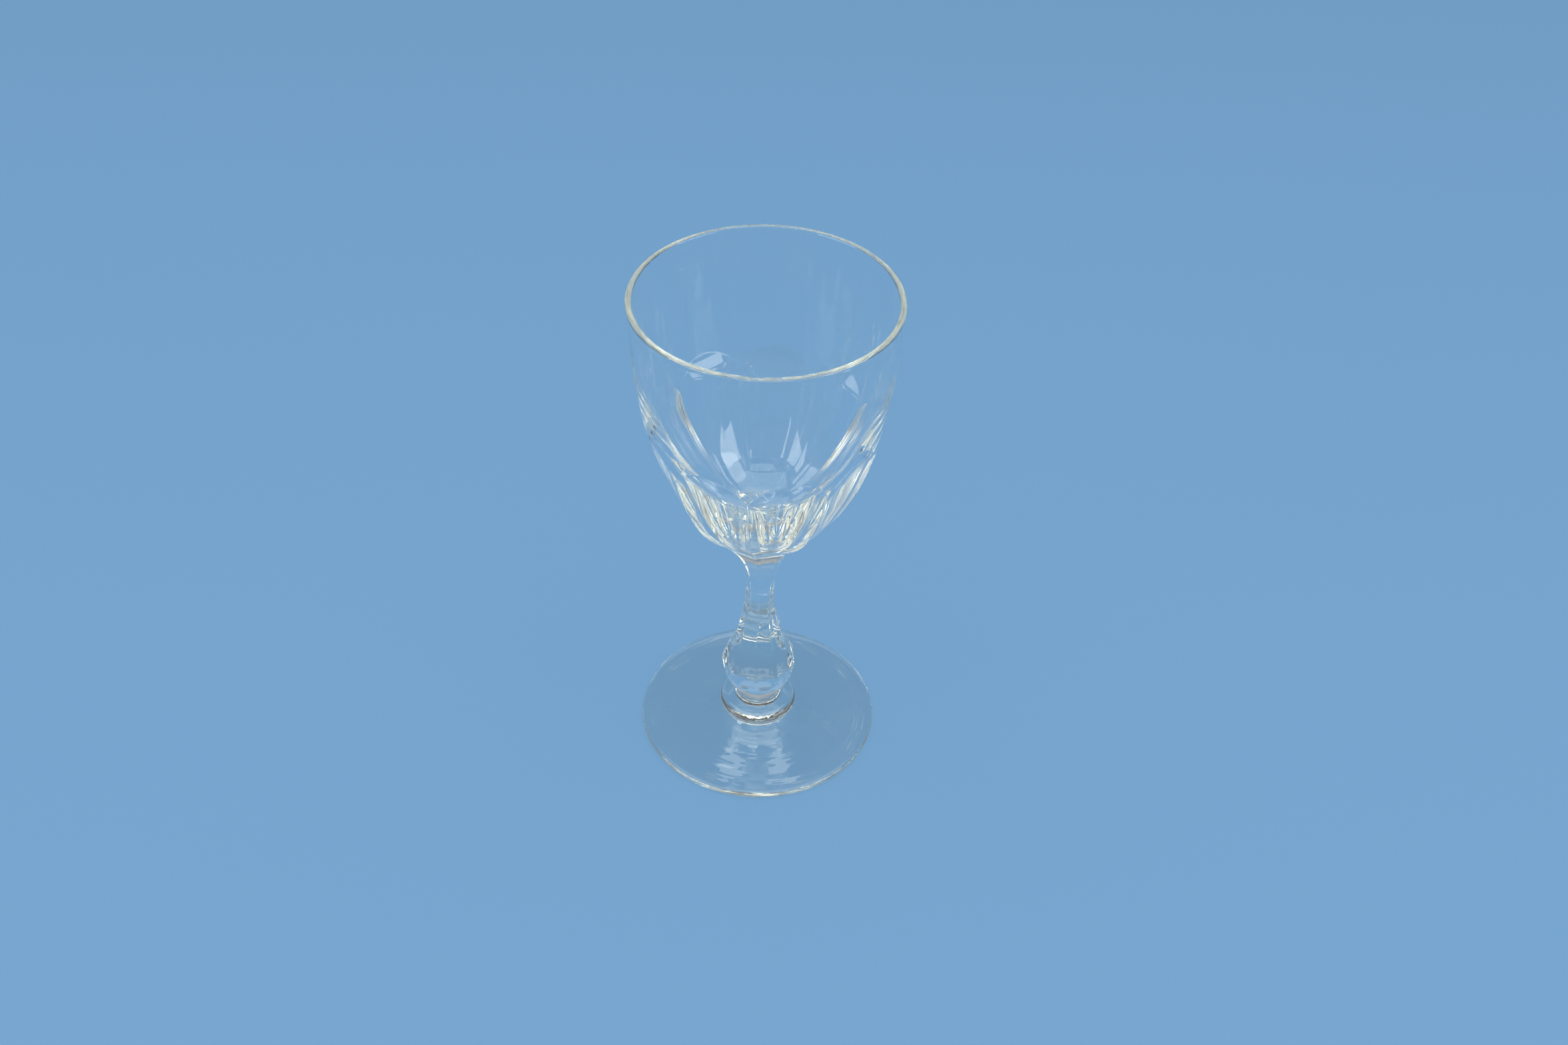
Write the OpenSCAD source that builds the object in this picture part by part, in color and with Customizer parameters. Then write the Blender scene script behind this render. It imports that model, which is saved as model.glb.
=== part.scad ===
// Small stemmed glass for dessert wine: one solid piece of clear glass.
// A turned blank (bowl, stem, knop, collar and foot) is hollowed out, and a ring of tall panels is
// then cut round the lower bowl, the stem and the knop. Origin: centre of the foot on the table, +Z up.

/* [Bowl] */
// height from the table to the top of the rim
rim_z = 125; // [122:1:130]
// outer radius of the rim
rim_r = 29.5; // [29:0.25:30.25]
// thickness of the glass at the rim, rounded over its whole width
rim_wall = 1.4; // [1.0:0.1:1.7]
// lean of the straight wall below the rim, degrees from upright
wall_lean = 3.7; // [3.2:0.1:4.2]
// slant length of the straight wall below the rim
wall_len = 12.3; // [9:0.5:16]
// radius of the bowl's outside as it starts to draw in
belly_r = 150; // [130:5:175]
// lean of the bowl's outside where the cut panels begin
belly_lean = 9.8; // [9.4:0.1:10.4]

/* [Hollow of the bowl] */
// radius of the inside wall as it draws in
hollow_belly_r = 90; // [85:1:94]
// height at which the inside wall turns into the round bottom
hollow_turn_z = 71; // [70:0.5:74]
// glass left there between the inside and the middle of a panel
shoulder_wall = 3.4; // [3:0.1:4]

/* [Cut panels] */
// number of panels round the glass
panel_count = 9; // [8:1:10]
// turn of the first panel's middle, seen from the front, towards +X
panel_turn = 13; // [-20:1:20]
// half the width over the flats at the waist of the stem
waist_half = 3.27; // [3.0:0.05:3.6]
// height of the waist
waist_z = 43.8; // [43:0.1:44.4]
// radius of the panels from the waist up to the bowl
flare_r = 26; // [25:0.25:26.5]
// lean of the panels under the bowl
flare_lean = 44; // [43:0.5:45]
// length of the straight run of the panels under the bowl
under_len = 3.4; // [2.6:0.1:3.8]
// radius of the panels at the bowl's shoulder
shoulder_r = 28; // [26:0.5:29]
// lean of the panels at the top of the shoulder
shoulder_lean = 27; // [26:0.5:28]
// radius of the panels up the side of the bowl
side_r = 70; // [66:1:74]
// lean of the panels where the cut starts to run out
side_lean = 13; // [12.5:0.25:14]
// depth of the cut, in the middle of a panel, where it starts to run out
cut_depth = 1.69; // [1.5:0.01:1.9]
// radius on which the cut runs out of the bowl into an arched top
runout_r = 30; // [27:1:34]

/* [Knop and collar] */
// radius of the panels from the waist down to the knop
spread_r = 54.5; // [52:0.5:58]
// height of the knop's sharp girdle
girdle_z = 20.2; // [19.6:0.2:21]
// lean of the short facets under the girdle
facet_lean = 4; // [3:0.5:6]
// radius of the knop's rounded underside, seen from the side
knop_r = 18; // [16:1:22]
// how far the rounded underside stands out past the girdle's corners
knop_margin = 0.05; // [0.03:0.01:0.08]
// radius of the neck between knop and collar
neck_r = 5.2; // [4.9:0.1:5.6]
// radius of the hollow curve of the neck
neck_curve_r = 1.7; // [1.5:0.1:2.0]
// outer radius of the collar
collar_r = 9.35; // [9.0:0.05:9.8]
// radius of the collar's rounded edge
collar_round = 1.85; // [1.6:0.05:2.1]
// height of the middle of the collar
collar_z = 6; // [5.8:0.1:6.4]

/* [Foot] */
// outer radius of the foot
foot_r = 29.1; // [27:0.5:32]
// thickness of the foot at its rounded edge
foot_edge = 2; // [1.6:0.1:2.4]
// height of the foot's top where it meets the collar
foot_mid_z = 4.05; // [3.8:0.05:4.2]
// inner radius of the flat ring that the glass stands on
rest_ring_r = 24.5; // [22:0.5:25.5]
// height of the shallow hollow under the middle of the foot
under_hollow_h = 1.2; // [0.8:0.1:1.6]

/* [Hidden] */
// Flat steps stay this close to each curve of the section
curve_error = 0.015;
turn_steps = 72;
// Cutters run this far past what they cut
overshoot = 1;

// A curve of the section is drawn by its lean: 0 is upright, plus is wider towards the top.
// A radius above zero bulges out of the glass and one below zero is hollow.
function normal_at(lean) = [cos(lean), -sin(lean)];
function rise_at(lean) = [sin(lean), cos(lean)];
function bend_steps(r, from, to) = ceil(abs(to - from) / (2 * acos(1 - curve_error / abs(r))));
function arc(centre, r, from, to) = [
  for (i = [0:bend_steps(r, from, to)])
    centre + r * normal_at(from + (to - from) * i / bend_steps(r, from, to))
];
// The same curve, from a start point, and the point where it ends
function bend(start, r, from, to) = arc(start - r * normal_at(from), r, from, to);
function bend_end(start, r, from, to) = start - r * normal_at(from) + r * normal_at(to);
function after_first(points) = [for (i = [1:len(points) - 1]) points[i]];

// Bowl: a full round for a lip, then the outside and the inside wall, both from the rim down
lip_r = rim_wall / 2;
lip = [rim_r - lip_r, rim_z - lip_r];
wall_top = lip + lip_r * normal_at(wall_lean);
wall_end = wall_top - wall_len * rise_at(wall_lean);
belly_end = bend_end(wall_end, belly_r, wall_lean, belly_lean);
hollow_top = lip - lip_r * normal_at(wall_lean);

// Panels above the waist: each curve starts where the one below it ends, with the same lean
waist = [waist_half, waist_z];
flare_end = bend_end(waist, -flare_r, 0, flare_lean);
under_end = flare_end + under_len * rise_at(flare_lean);
shoulder_end = bend_end(under_end, shoulder_r, flare_lean, shoulder_lean);
side_end = bend_end(shoulder_end, side_r, shoulder_lean, side_lean);
// The last curve runs on until it is clear of the bowl
runout_sweep = 22;
runout_lean = side_lean + runout_sweep;
runout_end = bend_end(side_end, -runout_r, side_lean, runout_lean);
drawn_rise = concat(
  after_first(bend(waist, -flare_r, 0, flare_lean)),
  bend(under_end, shoulder_r, flare_lean, shoulder_lean),
  after_first(bend(shoulder_end, side_r, shoulder_lean, side_lean)),
  after_first(bend(side_end, -runout_r, side_lean, runout_lean))
);
// The whole curve follows the bowl sideways, so that it lies cut_depth inside it where it starts to run out
bowl_x = belly_end[0] - (belly_end[1] - side_end[1]) * tan(belly_lean);
widening = (bowl_x - cut_depth - waist_half) / (side_end[0] - waist_half);
panel_rise = [for (point = drawn_rise) [waist_half + (point[0] - waist_half) * widening, point[1]]];

// Inside of the bowl: it turns into a ball-shaped bottom at a wall's distance from the panels, and its
// straight wall ends where the curve from there up meets it without a step
panel_x_by_height = [for (point = panel_rise) [point[1], point[0]]];
hollow_turn = [lookup(hollow_turn_z, panel_x_by_height) - shoulder_wall, hollow_turn_z];
hollow_inset = (hollow_top - hollow_turn) * normal_at(wall_lean);
hollow_drop = (hollow_top - hollow_turn) * rise_at(wall_lean);
hollow_bend_drop = sqrt(hollow_inset * (2 * hollow_belly_r - hollow_inset));
hollow_end = hollow_top - (hollow_drop - hollow_bend_drop) * rise_at(wall_lean);
hollow_lean = asin(sin(wall_lean) + (hollow_end[1] - hollow_turn_z) / hollow_belly_r);
bottom_r = hollow_turn[0] / cos(hollow_lean);

// Panels below the waist, and the short facets under the girdle
girdle_lean = -asin((waist_z - girdle_z) / spread_r);
girdle = bend_end(waist, -spread_r, 0, girdle_lean);
// Long enough to run out of the knop's rounded underside
facet_len = 6;
facet_end = girdle - facet_len * rise_at(facet_lean);
cut_half_width = belly_end[0] * sin(180 / panel_count) + overshoot;
cut_x = rim_r + overshoot;

// Collar and neck touch without a step
collar_centre = [collar_r - collar_round, collar_z];
neck_x = neck_r + neck_curve_r;
neck_reach = neck_curve_r + collar_round;
neck = [neck_x, collar_z + sqrt(pow(neck_reach, 2) - pow(neck_x - collar_centre[0], 2))];
neck_low_lean = -asin((neck[1] - collar_z) / neck_reach);
// The knop's underside goes through the girdle and touches the neck without a step
knop_edge = [girdle[0] / cos(180 / panel_count) + knop_margin, girdle_z];
link = neck - knop_edge;
link_len = norm(link);
link_along = (pow(knop_r, 2) - pow(knop_r + neck_curve_r, 2) + pow(link_len, 2)) / (2 * link_len);
link_side = sqrt(pow(knop_r, 2) - pow(link_along, 2));
knop_centre = knop_edge + (link_along * link + link_side * [link[1], -link[0]]) / link_len;
knop_low_lean = asin((knop_centre[1] - neck[1]) / (knop_r + neck_curve_r));
// Above it the blank is left as a plain cone, and the panels cut the stem out of that
knop_blank_z = girdle_z + overshoot;
knop_high_lean = asin((knop_centre[1] - knop_blank_z) / knop_r);
cone_foot = [belly_end[0] - (belly_end[1] - knop_blank_z) * tan(belly_lean), knop_blank_z];

// Foot: the collar's round edge tucks under as far as tuck_lean and meets the sloping top in a throat
foot_round = foot_edge / 2;
foot_centre = [foot_r - foot_round, foot_round];
tuck_lean = 50;
tuck = collar_centre + collar_round * normal_at(tuck_lean);
foot_lean = -90 + atan((foot_mid_z - foot_edge) / (foot_centre[0] - tuck[0]));
throat_r = (tuck[1] - foot_mid_z) / (sin(tuck_lean) - sin(foot_lean));

// Half section of the turned blank, from the middle of the foot outwards and up
module blank_section() {
  polygon(concat(
    [[0, under_hollow_h], [rest_ring_r, 0]],
    arc(foot_centre, foot_round, 90, foot_lean),
    arc(tuck + throat_r * normal_at(tuck_lean), -throat_r, foot_lean, tuck_lean),
    after_first(arc(collar_centre, collar_round, tuck_lean, neck_low_lean)),
    after_first(arc(neck, -neck_curve_r, neck_low_lean, knop_low_lean)),
    after_first(arc(knop_centre, knop_r, knop_low_lean, knop_high_lean)),
    [cone_foot],
    bend(belly_end, belly_r, belly_lean, wall_lean),
    arc(lip, lip_r, wall_lean, wall_lean - 180),
    bend(hollow_end, hollow_belly_r, wall_lean, hollow_lean),
    after_first(bend(hollow_turn, bottom_r, hollow_lean, 90))
  ));
}

// Section of what is ground away in front of one panel
module panel_section() {
  polygon(concat(
    [[cut_x, facet_end[1]], facet_end],
    arc(waist + [spread_r, 0], -spread_r, girdle_lean, 0),
    panel_rise,
    [[cut_x, runout_end[1]]]
  ));
}

// Ground-away glass in front of the panel that faces +X
module panel_cut() {
  rotate([90, 0, 0])
    linear_extrude(height = 2 * cut_half_width, center = true)
      panel_section();
}

module glass() {
  color([0.86, 0.9, 0.93, 0.4])
    difference() {
      rotate_extrude($fn = turn_steps) blank_section();
      for (k = [0:panel_count - 1])
        rotate([0, 0, panel_turn - 90 + k * 360 / panel_count]) panel_cut();
    }
}

glass();
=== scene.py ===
import math

import bpy
import numpy as np
from mathutils import Matrix, Vector


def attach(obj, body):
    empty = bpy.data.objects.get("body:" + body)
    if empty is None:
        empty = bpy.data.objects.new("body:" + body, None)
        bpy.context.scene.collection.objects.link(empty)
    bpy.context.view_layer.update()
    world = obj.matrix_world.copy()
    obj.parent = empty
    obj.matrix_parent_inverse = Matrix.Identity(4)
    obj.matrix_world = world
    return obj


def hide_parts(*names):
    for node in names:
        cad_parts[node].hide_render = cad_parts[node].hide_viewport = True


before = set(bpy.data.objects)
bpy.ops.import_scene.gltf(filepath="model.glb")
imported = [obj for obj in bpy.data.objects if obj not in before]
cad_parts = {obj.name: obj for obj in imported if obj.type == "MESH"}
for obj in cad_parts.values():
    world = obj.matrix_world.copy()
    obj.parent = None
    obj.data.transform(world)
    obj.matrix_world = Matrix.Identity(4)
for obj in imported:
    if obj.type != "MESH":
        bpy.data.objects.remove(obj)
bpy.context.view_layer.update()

# A stemmed dessert wine glass. The origin is the middle of the foot on the table.
# +Z is up and -Y faces the viewer of the photograph.

MM = 0.001

# Sizes of the glass in millimetres and degrees, the same as in the part's source
RIM_Z = 125.0
RIM_R = 29.5
RIM_WALL = 1.4
WALL_LEAN = 3.7
WALL_LEN = 12.3
BELLY_R = 150.0
BELLY_LEAN = 9.8
HOLLOW_BELLY_R = 90.0
HOLLOW_TURN_Z = 71.0
SHOULDER_WALL = 3.4
PANEL_COUNT = 9
PANEL_TURN = 13.0
WAIST_HALF = 3.27
WAIST_Z = 43.8
FLARE_R = 26.0
FLARE_LEAN = 44.0
UNDER_LEN = 3.4
SHOULDER_R = 28.0
SHOULDER_LEAN = 27.0
SIDE_R = 70.0
SIDE_LEAN = 13.0
CUT_DEPTH = 1.69
RUNOUT_R = 30.0
SPREAD_R = 54.5
GIRDLE_Z = 20.2
FACET_LEAN = 4.0
KNOP_R = 18.0
KNOP_MARGIN = 0.05
NECK_R = 5.2
NECK_CURVE_R = 1.7
COLLAR_R = 9.35
COLLAR_ROUND = 1.85
COLLAR_Z = 6.0
FOOT_R = 29.1
FOOT_EDGE = 2.0
FOOT_MID_Z = 4.05
REST_RING_R = 24.5
UNDER_HOLLOW_H = 1.2
TUCK_LEAN = 50.0

# The solid draws its rounds with flats, which makes its box this much narrower than the true round
ROUND_SCALE = 0.9995

# How softly the polished glass turns over its edges, in millimetres
RIDGE_SOFTNESS = 0.22
ARCH_SOFTNESS = 0.12
GIRDLE_SOFTNESS = 0.1
# How far above and below the girdle its soft edge is worked out
GIRDLE_REACH = 1.0


def normal_at(lean):
    """Direction out of a surface that leans outwards, as (away from the axis, up)."""
    a = math.radians(lean)
    return np.array([math.cos(a), -math.sin(a)])


def rise_at(lean):
    """Direction up along a surface that leans outwards."""
    a = math.radians(lean)
    return np.array([math.sin(a), math.cos(a)])


def spaced(start, end, steps):
    return [start + (end - start) * i / steps for i in range(steps + 1)]


def arc(centre, r, start, end, steps):
    """Points of a curve of the section, from one lean to another. A hollow curve has a negative r."""
    return [centre + r * normal_at(lean) for lean in spaced(start, end, steps)]


def bend_end(start, r, lean, end_lean):
    """End of a curve of the section that starts at a point and bends from one lean to another."""
    return start - r * normal_at(lean) + r * normal_at(end_lean)


def bulge(centre, r, z):
    """Distance from the axis of a curve that bulges out of the glass."""
    return centre[0] + math.sqrt(max(r * r - (z - centre[1]) ** 2, 0.0))


def dip(centre, r, z):
    """Distance from the axis of a hollow curve."""
    return centre[0] - math.sqrt(max(r * r - (z - centre[1]) ** 2, 0.0))


def soft_min(a, b, k):
    """The smaller of two values, rounded off where they differ by less than k."""
    h = max(k - abs(a - b), 0.0) / k
    return min(a, b) - h * h * k / 4


# Bowl from the rim down
lip_r = RIM_WALL / 2
lip = np.array([RIM_R - lip_r, RIM_Z - lip_r])
wall_top = lip + lip_r * normal_at(WALL_LEAN)
wall_end = wall_top - WALL_LEN * rise_at(WALL_LEAN)
belly_centre = wall_end - BELLY_R * normal_at(WALL_LEAN)
belly_end = bend_end(wall_end, BELLY_R, WALL_LEAN, BELLY_LEAN)
hollow_top = lip - lip_r * normal_at(WALL_LEAN)

# Panels from the waist up
half_panel = 180.0 / PANEL_COUNT
waist = np.array([WAIST_HALF, WAIST_Z])
flare_end = bend_end(waist, -FLARE_R, 0, FLARE_LEAN)
under_end = flare_end + UNDER_LEN * rise_at(FLARE_LEAN)
shoulder_centre = under_end - SHOULDER_R * normal_at(FLARE_LEAN)
shoulder_end = bend_end(under_end, SHOULDER_R, FLARE_LEAN, SHOULDER_LEAN)
side_centre = shoulder_end - SIDE_R * normal_at(SHOULDER_LEAN)
side_end = bend_end(shoulder_end, SIDE_R, SHOULDER_LEAN, SIDE_LEAN)
runout_centre = side_end + RUNOUT_R * normal_at(SIDE_LEAN)
# The panels' curve is stretched sideways, to be CUT_DEPTH deep at the end of its side
bowl_x = belly_end[0] - (belly_end[1] - side_end[1]) * math.tan(math.radians(BELLY_LEAN))
widening = (bowl_x - CUT_DEPTH - WAIST_HALF) / (side_end[0] - WAIST_HALF)

# Panels down to the girdle of the knop
girdle_lean = -math.degrees(math.asin((WAIST_Z - GIRDLE_Z) / SPREAD_R))
girdle = bend_end(waist, -SPREAD_R, 0, girdle_lean)

# Collar, neck and knop. The knop's underside runs smoothly into the hollow curve of the neck.
collar_centre = np.array([COLLAR_R - COLLAR_ROUND, COLLAR_Z])
neck_x = NECK_R + NECK_CURVE_R
neck_reach = NECK_CURVE_R + COLLAR_ROUND
neck = np.array([neck_x, COLLAR_Z + math.sqrt(neck_reach ** 2 - (neck_x - collar_centre[0]) ** 2)])
neck_low_lean = -math.degrees(math.asin((neck[1] - COLLAR_Z) / neck_reach))
knop_edge = np.array([girdle[0] / math.cos(math.radians(half_panel)) + KNOP_MARGIN, GIRDLE_Z])
link = neck - knop_edge
link_len = float(np.linalg.norm(link))
link_along = (KNOP_R ** 2 - (KNOP_R + NECK_CURVE_R) ** 2 + link_len ** 2) / (2 * link_len)
link_side = math.sqrt(KNOP_R ** 2 - link_along ** 2)
knop_centre = knop_edge + (link_along * link + link_side * np.array([link[1], -link[0]])) / link_len
knop_low_lean = math.degrees(math.asin((knop_centre[1] - neck[1]) / (KNOP_R + NECK_CURVE_R)))
knop_low = knop_centre + KNOP_R * normal_at(knop_low_lean)

# Foot
foot_round = FOOT_EDGE / 2
foot_centre = np.array([FOOT_R - foot_round, foot_round])
tuck = collar_centre + COLLAR_ROUND * normal_at(TUCK_LEAN)
foot_lean = -90 + math.degrees(math.atan((FOOT_MID_Z - FOOT_EDGE) / (foot_centre[0] - tuck[0])))
throat_r = (tuck[1] - FOOT_MID_Z) / (
    math.sin(math.radians(TUCK_LEAN)) - math.sin(math.radians(foot_lean))
)
throat_centre = tuck + throat_r * normal_at(TUCK_LEAN)
slope_start = foot_centre + foot_round * normal_at(foot_lean)
slope_end = throat_centre - throat_r * normal_at(foot_lean)


def facet_x(z):
    """Distance from the axis to the middle of a facet under the girdle."""
    return girdle[0] - (GIRDLE_Z - z) * math.tan(math.radians(FACET_LEAN))


def spread_x(z):
    """Distance from the axis to the middle of a panel between the girdle and the waist."""
    return dip(waist + np.array([SPREAD_R, 0]), SPREAD_R, z)


def panel_x(z):
    """Distance from the axis to the middle of a panel, or of a facet."""
    if z < GIRDLE_Z:
        return facet_x(z)
    if z < WAIST_Z:
        return spread_x(z)
    if z < flare_end[1]:
        x = dip(waist + np.array([FLARE_R, 0]), FLARE_R, z)
    elif z < under_end[1]:
        x = flare_end[0] + (z - flare_end[1]) * math.tan(math.radians(FLARE_LEAN))
    elif z < shoulder_end[1]:
        x = bulge(shoulder_centre, SHOULDER_R, z)
    elif z < side_end[1]:
        x = bulge(side_centre, SIDE_R, z)
    else:
        x = dip(runout_centre, RUNOUT_R, z)
    return WAIST_HALF + (x - WAIST_HALF) * widening


def panel_x_soft(z):
    """The same with the girdle's edge turned over softly."""
    if abs(z - GIRDLE_Z) > GIRDLE_REACH:
        return panel_x(z)
    return soft_min(facet_x(z), spread_x(z), GIRDLE_SOFTNESS)


def blank_x(z):
    """Distance from the axis to the turned blank, from the knop's underside to the rim."""
    if z < GIRDLE_Z + GIRDLE_REACH:
        return bulge(knop_centre, KNOP_R, z)
    if z < belly_end[1]:
        return belly_end[0] - (belly_end[1] - z) * math.tan(math.radians(BELLY_LEAN))
    return bulge(belly_centre, BELLY_R, z)


def outside(turn, z):
    """Distance from the axis to the cut glass. turn is the angle from the middle of the panel."""
    near = panel_x_soft(z) / math.cos(math.radians(turn))
    next_turn = 2 * half_panel - abs(turn)
    far = panel_x_soft(z) / math.cos(math.radians(next_turn))
    cut = soft_min(near, far, RIDGE_SOFTNESS)
    return soft_min(blank_x(z), cut, ARCH_SOFTNESS)


def panel_gap(turn, z):
    """How far the sharp panel lies outside the blank."""
    return panel_x(z) / math.cos(math.radians(turn)) - blank_x(z)


HALVINGS = 50


def crossing(turn, low, high):
    """Height at which the panel meets the blank, between two heights."""
    low_is_outside = panel_gap(turn, low) > 0
    for _ in range(HALVINGS):
        middle = (low + high) / 2
        if (panel_gap(turn, middle) > 0) == low_is_outside:
            low = middle
        else:
            high = middle
    return (low + high) / 2


# The mesh has rows round the axis and columns from pole to pole.
# Turns of one panel's columns from its ridge, in degrees, crowded together near the ridge
RIDGE_TURNS = (
    0.0, 0.22, 0.48, 0.8, 1.2, 1.75, 2.5, 3.5, 4.7, 6.1, 7.7, 9.4, 11.2, 13.2, 15.4, 17.7,
)
turns = [-half_panel + s for s in RIDGE_TURNS] + [0.0]
turns += [half_panel - s for s in reversed(RIDGE_TURNS[1:])]

# Places of single rows in millimetres: under the foot, round its resting ring and at the creases
UNDER_RADII = (0.8, 3, 7, 12, 17, 21, 23.6, 24.3)
RING_ROWS = (0.0, 0.2, 1.2)
RING_INSET = 0.4
FACET_ROWS = (-0.12, 0.0, 0.05)
GIRDLE_ROWS = (-0.08, -0.03, 0.02, 0.07, 0.13, 0.2, 0.3, 0.6)
CREASE_ROWS = (0.06, 0.14, 0.26, 0.42, 0.65)
# Rows of straight lines, as shares of their length
SLOPE_SHARES = (0.03, 0.12, 0.26, 0.42, 0.58, 0.74, 0.88, 0.96)
WALL_SHARES = (0.25, 0.5, 0.75, 0.93)
HOLLOW_SHARES = (0.07, 0.25, 0.5, 0.75)
# Steps of the rows along each curve
EDGE_STEPS = 16
THROAT_STEPS = 8
COLLAR_STEPS = 20
NECK_STEPS = 12
KNOP_STEPS = 14
FACET_STEPS = 8
SPREAD_STEPS = 24
FLARE_STEPS = 20
UNDER_STEPS = 3
SHOULDER_STEPS = 12
SIDE_STEPS = 12
ARCH_STEPS = 10
OVER_ARCH_STEPS = 5
BELLY_STEPS = 10
LIP_STEPS = 20
HOLLOW_STEPS = 26
# How far below the girdle the facets' lower ends are looked for, and how near they may come to it
FACET_SEARCH = 0.05
FACET_LEAST = 0.3
# Where the even rows under the girdle stop
GIRDLE_BELOW = 0.15
# The rows between these two follow the arches: below the end of the side, and above that of the belly
ARCH_BELOW = 3
ARCH_ABOVE = 1
# Lean of the last row inside the bowl. A fan of triangles closes what is left.
POLE_LEAN = 88.0


def foot_rows():
    """(radius, height) of the rows from the middle of the foot's underside up to the knop."""
    under_slope = UNDER_HOLLOW_H / REST_RING_R
    rows = [(x, UNDER_HOLLOW_H - under_slope * x) for x in UNDER_RADII]
    rows += [(REST_RING_R + x, 0.0) for x in RING_ROWS]
    rows.append((foot_centre[0] - RING_INSET, 0.0))
    rows += arc(foot_centre, foot_round, 90, foot_lean, EDGE_STEPS)
    rows += [slope_start + (slope_end - slope_start) * t for t in SLOPE_SHARES]
    rows += arc(throat_centre, -throat_r, foot_lean, TUCK_LEAN, THROAT_STEPS)
    rows += arc(collar_centre, COLLAR_ROUND, TUCK_LEAN, neck_low_lean, COLLAR_STEPS)[1:]
    rows += arc(neck, -NECK_CURVE_R, neck_low_lean, knop_low_lean, NECK_STEPS)[1:]
    return rows


def cut_rows(turn):
    """The same from the knop's underside to above the panels, along one column."""
    facet_z = crossing(turn, knop_low[1], GIRDLE_Z - FACET_SEARCH)
    facet_z = min(facet_z, GIRDLE_Z - FACET_LEAST)
    arch_start = side_end[1] - ARCH_BELOW
    arch_z = crossing(turn, arch_start, belly_end[1])
    heights = spaced(knop_low[1], facet_z, KNOP_STEPS)[1:-1]
    heights += [facet_z + d for d in FACET_ROWS]
    heights += spaced(facet_z + FACET_ROWS[-1], GIRDLE_Z - GIRDLE_BELOW, FACET_STEPS)[1:]
    heights += [GIRDLE_Z + d for d in GIRDLE_ROWS]
    heights += spaced(GIRDLE_Z + GIRDLE_REACH, WAIST_Z, SPREAD_STEPS)
    heights += spaced(WAIST_Z, flare_end[1], FLARE_STEPS)[1:]
    heights += spaced(flare_end[1], under_end[1], UNDER_STEPS)[1:]
    heights += spaced(under_end[1], shoulder_end[1], SHOULDER_STEPS)[1:]
    heights += spaced(shoulder_end[1], arch_start, SIDE_STEPS)[1:]
    heights += spaced(arch_start, arch_z - CREASE_ROWS[-1], ARCH_STEPS)[1:]
    heights += [arch_z - d for d in reversed(CREASE_ROWS[:-1])]
    heights.append(arch_z)
    heights += [arch_z + d for d in CREASE_ROWS]
    heights += spaced(arch_z + CREASE_ROWS[-1], belly_end[1] + ARCH_ABOVE, OVER_ARCH_STEPS)[1:]
    return [(outside(turn, z), z) for z in heights]


def wall_rows():
    """The same from above the panels and over the lip."""
    heights = spaced(belly_end[1] + ARCH_ABOVE, wall_end[1], BELLY_STEPS)[1:]
    rows = [(blank_x(z), z) for z in heights]
    rows += [wall_end + (wall_top - wall_end) * t for t in WALL_SHARES]
    rows += arc(lip, lip_r, WALL_LEAN, WALL_LEAN - 180, LIP_STEPS)
    return rows


def hollow_rows():
    """The same inside the bowl, from the lip down."""
    turn_x = panel_x(HOLLOW_TURN_Z) - SHOULDER_WALL
    drop = hollow_top - np.array([turn_x, HOLLOW_TURN_Z])
    inset = float(drop @ normal_at(WALL_LEAN))
    bend_drop = math.sqrt(inset * (2 * HOLLOW_BELLY_R - inset))
    end = hollow_top - (float(drop @ rise_at(WALL_LEAN)) - bend_drop) * rise_at(WALL_LEAN)
    lean = math.degrees(
        math.asin(math.sin(math.radians(WALL_LEAN)) + (end[1] - HOLLOW_TURN_Z) / HOLLOW_BELLY_R)
    )
    centre = end - HOLLOW_BELLY_R * normal_at(WALL_LEAN)
    bottom_r = turn_x / math.cos(math.radians(lean))
    bottom_centre = np.array([turn_x, HOLLOW_TURN_Z]) - bottom_r * normal_at(lean)
    rows = [hollow_top + (end - hollow_top) * t for t in HOLLOW_SHARES]
    rows += arc(centre, HOLLOW_BELLY_R, WALL_LEAN, lean, HOLLOW_STEPS)
    rows += arc(bottom_centre, bottom_r, lean, POLE_LEAN, HOLLOW_STEPS)[1:]
    return rows


def column_rows(turn):
    """All rows of one column, from the middle of the foot's underside to that of the hollow."""
    return foot_rows() + cut_rows(turn) + wall_rows() + hollow_rows()


def glass_mesh():
    """The whole glass as one closed mesh of rows and columns."""
    patterns = [column_rows(turn) for turn in turns]
    n_rows = len(patterns[0])
    points = []
    for panel in range(PANEL_COUNT):
        for turn, rows in zip(turns, patterns):
            angle = math.radians(PANEL_TURN + panel * 2 * half_panel + turn)
            for r, z in rows:
                across = r * ROUND_SCALE * MM
                points.append((across * math.sin(angle), -across * math.cos(angle), z * MM))
    starts = list(range(0, len(points), n_rows))
    neighbours = list(zip(starts, starts[1:] + starts[:1]))
    faces = []
    for here, beyond in neighbours:
        for i in range(n_rows - 1):
            faces.append((here + i, beyond + i, beyond + i + 1, here + i + 1))
    low_pole = len(points)
    high_pole = low_pole + 1
    last_r, last_z = patterns[0][-1]
    pole_z = last_z - last_r * math.tan(math.radians((90 - POLE_LEAN) / 2))
    points.append((0.0, 0.0, UNDER_HOLLOW_H * MM))
    points.append((0.0, 0.0, pole_z * MM))
    for here, beyond in neighbours:
        faces.append((low_pole, beyond, here))
        faces.append((high_pole, here + n_rows - 1, beyond + n_rows - 1))
    mesh = bpy.data.meshes.new("glass_body")
    mesh.from_pydata(points, [], faces)
    mesh.validate()
    mesh.polygons.foreach_set("use_smooth", [True] * len(mesh.polygons))
    mesh.update()
    return mesh


def node(tree, kind, **inputs):
    """A new node with values on its sockets. An underscore stands for a space in a socket's name."""
    n = tree.nodes.new(kind)
    for name, value in inputs.items():
        n.inputs[name.replace("_", " ")].default_value = value
    return n


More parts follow.
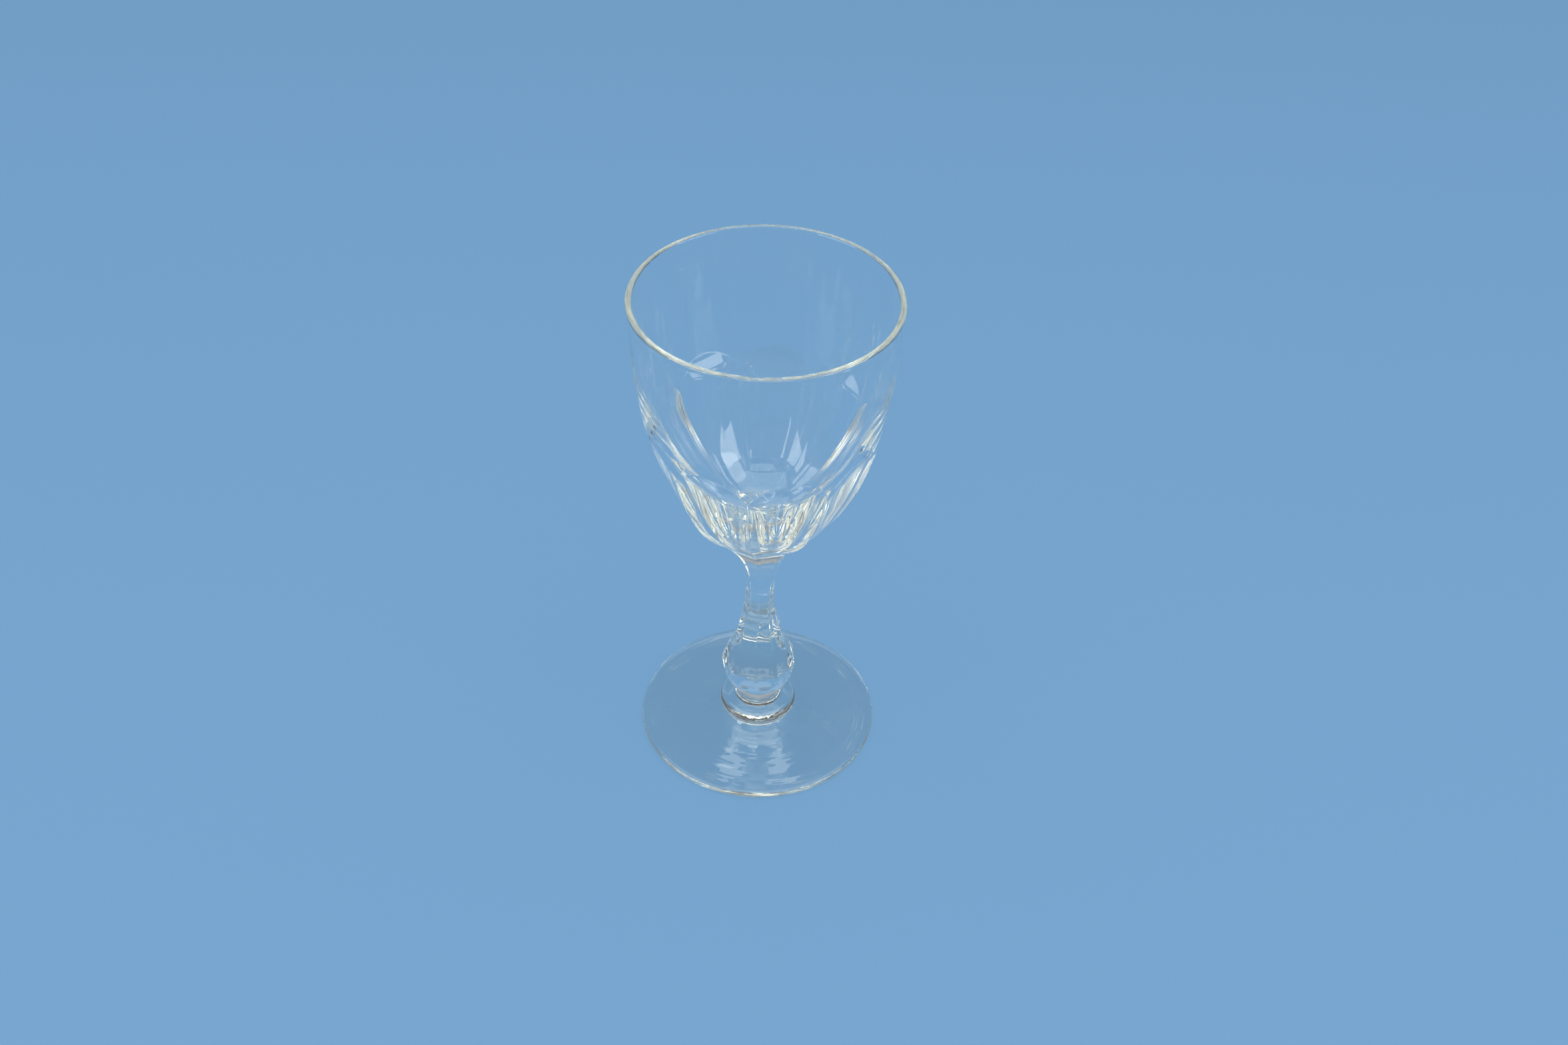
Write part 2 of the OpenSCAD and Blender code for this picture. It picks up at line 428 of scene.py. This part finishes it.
def calc(tree, operation, *values):
    """Output of a Math node. Each value is a number or the output of another node."""
    n = tree.nodes.new("ShaderNodeMath")
    n.operation = operation
    for socket, value in zip(n.inputs, values):
        if isinstance(value, (int, float)):
            socket.default_value = value
        else:
            tree.links.new(value, socket)
    return n.outputs[0]


def product(tree, first, *others):
    for value in others:
        first = calc(tree, "MULTIPLY", first, value)
    return first


def ramp(tree, value, low, high):
    """0 below low and 1 above high, or the other way round where low is the larger."""
    n = tree.nodes.new("ShaderNodeMapRange")
    n.interpolation_type = "SMOOTHSTEP"
    flip = low > high
    n.inputs["From Min"].default_value = min(low, high)
    n.inputs["From Max"].default_value = max(low, high)
    n.inputs["To Min"].default_value = 1.0 if flip else 0.0
    n.inputs["To Max"].default_value = 0.0 if flip else 1.0
    tree.links.new(value, n.inputs["Value"])
    return n.outputs["Result"]


def noise(tree, place, size, detail):
    """Noise with forms of about one size, in the place's own unit."""
    n = node(tree, "ShaderNodeTexNoise", Scale=1 / size, Detail=detail)
    tree.links.new(place, n.inputs["Vector"])
    return n.outputs["Fac"]


def mixed(tree, share, first, second):
    """A mix of two shaders, which is all second where the share is 1."""
    n = node(tree, "ShaderNodeMixShader")
    tree.links.new(share, n.inputs[0])
    tree.links.new(first.outputs[0], n.inputs[1])
    tree.links.new(second.outputs[0], n.inputs[2])
    return n


class Place:
    """Where a point of the surface is: its coordinates, its distance from the axis and its angle."""
    def __init__(self, tree):
        self.at = node(tree, "ShaderNodeTexCoord").outputs["Object"]
        parts = node(tree, "ShaderNodeSeparateXYZ")
        tree.links.new(self.at, parts.inputs[0])
        x, y, self.z = parts.outputs
        squares = [calc(tree, "MULTIPLY", value, value) for value in (x, y)]
        self.r = calc(tree, "SQRT", calc(tree, "ADD", *squares))
        self.angle = calc(tree, "ARCTAN2", y, x)


def rounds(tree, place, pitch, length):
    """Coordinates for forms that run round the axis, a pitch apart and a length in radians long."""
    n = tree.nodes.new("ShaderNodeCombineXYZ")
    tree.links.new(calc(tree, "DIVIDE", place.r, pitch), n.inputs[0])
    tree.links.new(calc(tree, "DIVIDE", place.angle, length), n.inputs[1])
    return n.outputs[0]


# Waves of the glass, in metres: long ones all over, and ripples round the middle of the spun foot
LONG_WAVE = 0.016
LONG_HEIGHT = 0.000045
RIPPLE_PITCH = 0.0021
RIPPLE_LENGTH = 0.55
RIPPLE_HEIGHT = 0.00011
FOOT_TOP = 0.0046
FOOT_FADE = 0.0008
# The lip was melted smooth, and the long waves end below it
LIP_START = 0.1205
LIP_END = 0.1235


def waves(tree, place):
    """Bump of glass that was never ground flat."""
    below_lip = ramp(tree, place.z, LIP_END, LIP_START)
    long_waves = product(tree, noise(tree, place.at, LONG_WAVE, 0.0), below_lip)
    ripples = noise(tree, rounds(tree, place, RIPPLE_PITCH, RIPPLE_LENGTH), 1.0, 1.0)
    on_foot = ramp(tree, place.z, FOOT_TOP, FOOT_TOP - FOOT_FADE)
    foot_ripples = product(tree, ripples, on_foot, RIPPLE_HEIGHT / LONG_HEIGHT)
    bump = node(tree, "ShaderNodeBump", Strength=1.0, Distance=LONG_HEIGHT)
    tree.links.new(calc(tree, "ADD", long_waves, foot_ripples), bump.inputs["Height"])
    return bump.outputs[0]


# Fine circular scratches where the foot has been pushed about on tables
WEAR_IN = 0.0238
WEAR_OUT = 0.0276
WEAR_TOP = 0.0004
WEAR_FADE = 0.0008
WEAR_PATCH = 0.009
SCRATCH_PITCH = 0.00012
SCRATCH_LENGTH = 0.35
# Values of the noise between which a scratch, or a worn patch, comes in
SCRATCH_RANGE = (0.5, 0.72)
WEAR_RANGE = (0.42, 0.62)
# How rough full wear makes the glass, and how much of it a whitish haze covers
WEAR_ROUGHNESS = 0.35
WEAR_HAZE = 0.22


def ring_wear(tree, place):
    """Strength, from 0 to 1, of the wear on the ring that the glass stands on."""
    around = rounds(tree, place, SCRATCH_PITCH, SCRATCH_LENGTH)
    lines = ramp(tree, noise(tree, around, 1.0, 2.0), *SCRATCH_RANGE)
    patches = ramp(tree, noise(tree, place.at, WEAR_PATCH, 2.0), *WEAR_RANGE)
    inner_edge = ramp(tree, place.r, WEAR_IN, WEAR_IN + WEAR_FADE)
    outer_edge = ramp(tree, place.r, WEAR_OUT, WEAR_OUT - WEAR_FADE)
    under = ramp(tree, place.z, WEAR_TOP, WEAR_TOP / 2)
    ring = product(tree, inner_edge, outer_edge, under)
    return product(tree, lines, patches, ring)


# A few grains of dust, and the faint film that fingers and drying water leave
GRAIN_SPACING = 0.0062
GRAIN_R = 0.00013
GRAIN_CORE = 0.6
GRAIN_COVER = 0.85
FILM = 0.02
SMEAR_SIZE = 0.014
SMEAR_RANGE = (0.52, 0.70)
STREAK_SIZE = 0.0022
STREAK_RANGE = (0.40, 0.66)


def dirt(tree, place):
    """Share of the surface that dust and film cover."""
    cells = node(tree, "ShaderNodeTexVoronoi", Scale=1 / GRAIN_SPACING)
    tree.links.new(place.at, cells.inputs["Vector"])
    grain = GRAIN_R / GRAIN_SPACING
    grains = ramp(tree, cells.outputs["Distance"], grain, GRAIN_CORE * grain)
    smears = ramp(tree, noise(tree, place.at, SMEAR_SIZE, 4.0), *SMEAR_RANGE)
    streaks = ramp(tree, noise(tree, place.at, STREAK_SIZE, 3.0), *STREAK_RANGE)
    film = product(tree, smears, streaks, FILM)
    return calc(tree, "MAXIMUM", product(tree, grains, GRAIN_COVER), film)


GLASS_COLOUR = (0.99, 0.99, 0.99, 1)
GLASS_IOR = 1.52
DIRT_COLOUR = (0.80, 0.82, 0.84, 1)
DIRT_ROUGHNESS = 0.8
# Lamps and soft light pass through with a faint shadow
SHADOW_TINT = (0.945, 0.95, 0.945, 1)
# Thick glass is faintly warm and green
DEPTH_COLOUR = (0.95, 0.975, 0.89, 1)
DEPTH_DENSITY = 10.0


def glass_surface(tree):
    """Clear glass with its waves, wear and dirt. Shadow and diffuse rays go straight through."""
    place = Place(tree)
    bump = waves(tree, place)
    wear = ring_wear(tree, place)
    glass = node(
        tree, "ShaderNodeBsdfPrincipled",
        Base_Color=GLASS_COLOUR, IOR=GLASS_IOR, Transmission_Weight=1.0,
    )
    tree.links.new(bump, glass.inputs["Normal"])
    tree.links.new(product(tree, wear, WEAR_ROUGHNESS), glass.inputs["Roughness"])
    film = node(tree, "ShaderNodeBsdfPrincipled", Base_Color=DIRT_COLOUR, Roughness=DIRT_ROUGHNESS)
    cover = calc(tree, "MAXIMUM", dirt(tree, place), product(tree, wear, WEAR_HAZE))
    surface = mixed(tree, cover, glass, film)
    clear = node(tree, "ShaderNodeBsdfTransparent", Color=SHADOW_TINT)
    path = node(tree, "ShaderNodeLightPath")
    passing = calc(tree, "MAXIMUM", path.outputs["Is Shadow Ray"], path.outputs["Is Diffuse Ray"])
    return mixed(tree, passing, surface, clear)


def glass_material():
    mat = bpy.data.materials.new("clear_glass")
    mat.use_nodes = True
    tree = mat.node_tree
    tree.nodes.clear()
    out = node(tree, "ShaderNodeOutputMaterial")
    tree.links.new(glass_surface(tree).outputs[0], out.inputs["Surface"])
    depth = node(tree, "ShaderNodeVolumeAbsorption", Color=DEPTH_COLOUR, Density=DEPTH_DENSITY)
    tree.links.new(depth.outputs[0], out.inputs["Volume"])
    return mat


# The glass rests on a film of air, so that its underside and the floor aren't in the same plane
FLOOR_GAP = 0.00003
FLOOR_COLOUR = (0.18, 0.36, 0.64, 1)
# Half the side of the floor, and the distances between which it fades into the background
FLOOR_REACH = 4.0
FADE_START = 0.5
FADE_END = 2.2


def floor_material():
    """Matt paper, with no gloss that would show the lamps."""
    mat = bpy.data.materials.new("pale_floor")
    mat.use_nodes = True
    tree = mat.node_tree
    out = tree.nodes["Material Output"]
    paper = tree.nodes["Principled BSDF"]
    paper.inputs["Base Color"].default_value = FLOOR_COLOUR
    paper.inputs["Roughness"].default_value = 1.0
    paper.inputs["Specular IOR Level"].default_value = 0.0
    fade = ramp(tree, Place(tree).r, FADE_START, FADE_END)
    clear = node(tree, "ShaderNodeBsdfTransparent")
    tree.links.new(mixed(tree, fade, paper, clear).outputs[0], out.inputs["Surface"])
    return mat


def floor():
    side = FLOOR_REACH
    low = -FLOOR_GAP
    corners = [(-side, -side, low), (side, -side, low), (side, side, low), (-side, side, low)]
    mesh = bpy.data.meshes.new("floor")
    mesh.from_pydata(corners, [], [(0, 1, 2, 3)])
    obj = bpy.data.objects.new("floor", mesh)
    bpy.context.collection.objects.link(obj)
    obj.data.materials.append(floor_material())


# The camera of the photograph, solved from the ellipses of the rim and the foot.
# Angles are in degrees, distances in millimetres and the focal length in the photograph's pixels.
CAMERA_YAW = 0.954
CAMERA_PITCH = 40.506
CAMERA_ROLL = 1.822
CAMERA_BACK = 312.2
CAMERA_HEIGHT = 330.0
FOCAL_PIXELS = 2666.2
PHOTO_WIDTH = 2353
# Width of the sensor in millimetres, and the nearest and furthest that is drawn, in metres
SENSOR_WIDTH = 36
CLIP_START = 0.01
CLIP_END = 20


def camera():
    yaw = math.radians(CAMERA_YAW)
    pitch = math.radians(CAMERA_PITCH)
    roll = math.radians(CAMERA_ROLL)
    forward = Vector((
        math.sin(yaw) * math.cos(pitch),
        math.cos(yaw) * math.cos(pitch),
        -math.sin(pitch),
    ))
    level = Vector((math.cos(yaw), -math.sin(yaw), 0))
    above = level.cross(forward)
    right = math.cos(roll) * level + math.sin(roll) * above
    up = -math.sin(roll) * level + math.cos(roll) * above
    data = bpy.data.cameras.new("camera")
    data.sensor_fit = "HORIZONTAL"
    data.sensor_width = SENSOR_WIDTH
    data.lens = FOCAL_PIXELS / PHOTO_WIDTH * SENSOR_WIDTH
    data.clip_start = CLIP_START
    data.clip_end = CLIP_END
    obj = bpy.data.objects.new("camera", data)
    bpy.context.collection.objects.link(obj)
    turn = Matrix((right, up, -forward)).transposed().to_4x4()
    obj.matrix_world = Matrix.Translation((0, -CAMERA_BACK * MM, CAMERA_HEIGHT * MM)) @ turn
    bpy.context.scene.camera = obj


# Azimuth 0 is behind the glass, 90 to its right and 180 at the viewer.
# Azimuth and elevation in degrees, width and height in metres, and radiance of each lamp
LAMPS = {
    "softbox_left": (-120, 17.5, 1.2, 0.66, 5.0),
    "softbox_right": (118.5, 16.2, 1.24, 0.68, 5.0),
    "softbox_front": (178, 52, 1.48, 0.57, 2.0),
    "softbox_top": (0, 90, 3.6, 2.0, 1.85),
    "softbox_back": (0, 59, 0.34, 0.26, 2.6),
}
LAMP_DISTANCE = 2.0
LAMP_COLOUR = (0.98, 1.0, 0.92)
GLASS_MIDDLE = (0, 0, 0.07)


def softbox(name, azimuth, elevation, width, height, radiance):
    """A soft lamp that faces the glass and that the camera doesn't see."""
    turn = math.radians(azimuth)
    rise = math.radians(elevation)
    toward = Vector((math.sin(turn) * math.cos(rise), math.cos(turn) * math.cos(rise), math.sin(rise)))
    data = bpy.data.lights.new(name, "AREA")
    data.shape = "RECTANGLE"
    data.color = LAMP_COLOUR
    data.size = width
    data.size_y = height
    data.energy = radiance * math.pi * width * height
    obj = bpy.data.objects.new(name, data)
    bpy.context.collection.objects.link(obj)
    obj.location = Vector(GLASS_MIDDLE) + toward * LAMP_DISTANCE
    obj.visible_camera = False
    obj.rotation_euler = toward.to_track_quat("Z", "Y").to_euler()


def lights():
    for name, lamp in LAMPS.items():
        softbox(name, *lamp)


WALL_COLOUR = (0.37, 0.38, 0.365, 1)
CEILING_COLOUR = (0.12, 0.12, 0.115, 1)
# Sines of the elevations between which the walls fade into the ceiling
WALLS_END = 0.05
CEILING_START = 0.42


def surroundings():
    """A studio with light grey walls and a darker ceiling, the same for every kind of ray."""
    world = bpy.data.worlds.new("studio")
    bpy.context.scene.world = world
    world.use_nodes = True
    tree = world.node_tree
    tree.nodes.clear()
    out = node(tree, "ShaderNodeOutputWorld")
    walls = node(tree, "ShaderNodeBackground", Color=WALL_COLOUR, Strength=1.0)
    ceiling = node(tree, "ShaderNodeBackground", Color=CEILING_COLOUR, Strength=1.0)
    parts = node(tree, "ShaderNodeSeparateXYZ")
    tree.links.new(node(tree, "ShaderNodeTexCoord").outputs["Generated"], parts.inputs[0])
    share = ramp(tree, parts.outputs[2], WALLS_END, CEILING_START)
    tree.links.new(mixed(tree, share, walls, ceiling).outputs[0], out.inputs["Surface"])


# Light needs many turns inside thick cut glass before it comes out again
MAX_BOUNCES = 48
GLASS_BOUNCES = 32

camera()
glass = bpy.data.objects.new("wine_glass", glass_mesh())
bpy.context.collection.objects.link(glass)
glass.data.materials.append(glass_material())
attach(glass, "root")
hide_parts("glass")
floor()
lights()
surroundings()
bpy.context.scene.view_settings.view_transform = "Standard"
bpy.context.scene.cycles.max_bounces = MAX_BOUNCES
bpy.context.scene.cycles.glossy_bounces = GLASS_BOUNCES
bpy.context.scene.cycles.transmission_bounces = GLASS_BOUNCES
